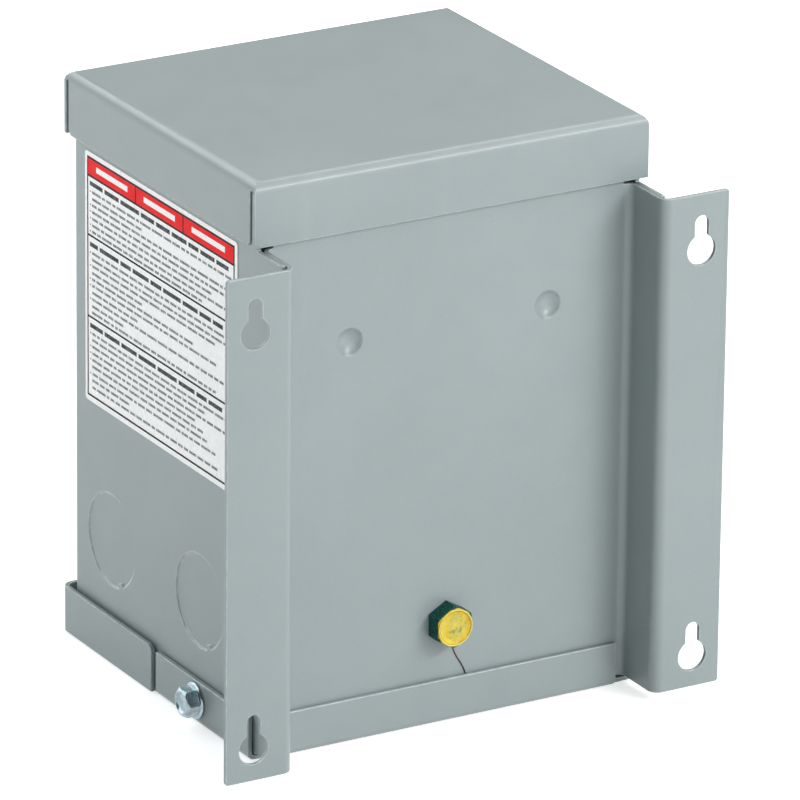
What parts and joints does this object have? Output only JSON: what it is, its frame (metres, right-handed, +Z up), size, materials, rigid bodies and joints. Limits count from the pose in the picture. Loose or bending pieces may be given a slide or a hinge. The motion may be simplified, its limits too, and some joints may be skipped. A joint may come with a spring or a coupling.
{
  "type": "buck boost transformer",
  "caption": "Encapsulated buck boost transformer in a grey wall-mounted sheet-steel enclosure with keyholed ears and a wiring compartment.",
  "frame": {"origin": "middle of the enclosure's box, on the underside of the bottom pan", "axes": "+Z up along the height, +Y from the enclosure towards the wall behind it, +X towards the side that carries the label"},
  "size_m": [0.1596, 0.129, 0.1706],
  "materials": {
    "enclosure_paint": "semi-gloss grey powder coat",
    "zinc_plate": "bright zinc plate",
    "label_film": "printed vinyl film",
    "ground_green": "dark green paint, yellow in the dish",
    "core_steel": "stacked silicon steel laminations, varnished",
    "bobbin_plastic": "moulded nylon",
    "magnet_wire": "enamelled copper wire",
    "insulation_paper": "insulating board and paper",
    "potting_resin": "cast resin filled with silica sand",
    "tinned_copper": "tinned stranded ends",
    "lead_black": "cross-linked insulation",
    "lead_grey": "cross-linked insulation",
    "lead_brown": "cross-linked insulation",
    "lead_orange": "cross-linked insulation",
    "lead_yellow": "cross-linked insulation",
    "lead_blue": "cross-linked insulation",
    "lead_red": "cross-linked insulation",
    "lead_white": "cross-linked insulation"
  },
  "bodies": {
    "root": {"top_cover": "enclosure_paint", "case_wrap": "enclosure_paint", "back_panel": "enclosure_paint", "bottom_pan": "enclosure_paint", "pan_screws": "zinc_plate", "side_label": "label_film", "ground_bolt": "ground_green", "ground_lockwasher": "zinc_plate", "ground_nut": "zinc_plate", "core_e_stack": "core_steel", "core_i_stack": "core_steel", "bobbin": "bobbin_plastic", "primary_winding": "magnet_wire", "secondary_winding": "magnet_wire", "coil_wrap": "insulation_paper", "rail_top_front": "zinc_plate", "rail_top_rear": "zinc_plate", "rail_bottom_front": "zinc_plate", "rail_bottom_rear": "zinc_plate", "core_bolts": "zinc_plate", "core_nuts": "zinc_plate", "barrier_plate": "insulation_paper", "potting": "potting_resin", "lead_h1": "lead_black", "lead_h2": "lead_grey", "lead_h3": "lead_brown", "lead_h4": "lead_orange", "lead_x1": "lead_yellow", "lead_x2": "lead_blue", "lead_x3": "lead_red", "lead_x4": "lead_white", "lead_tips": "tinned_copper"}
  },
  "joints": []
}
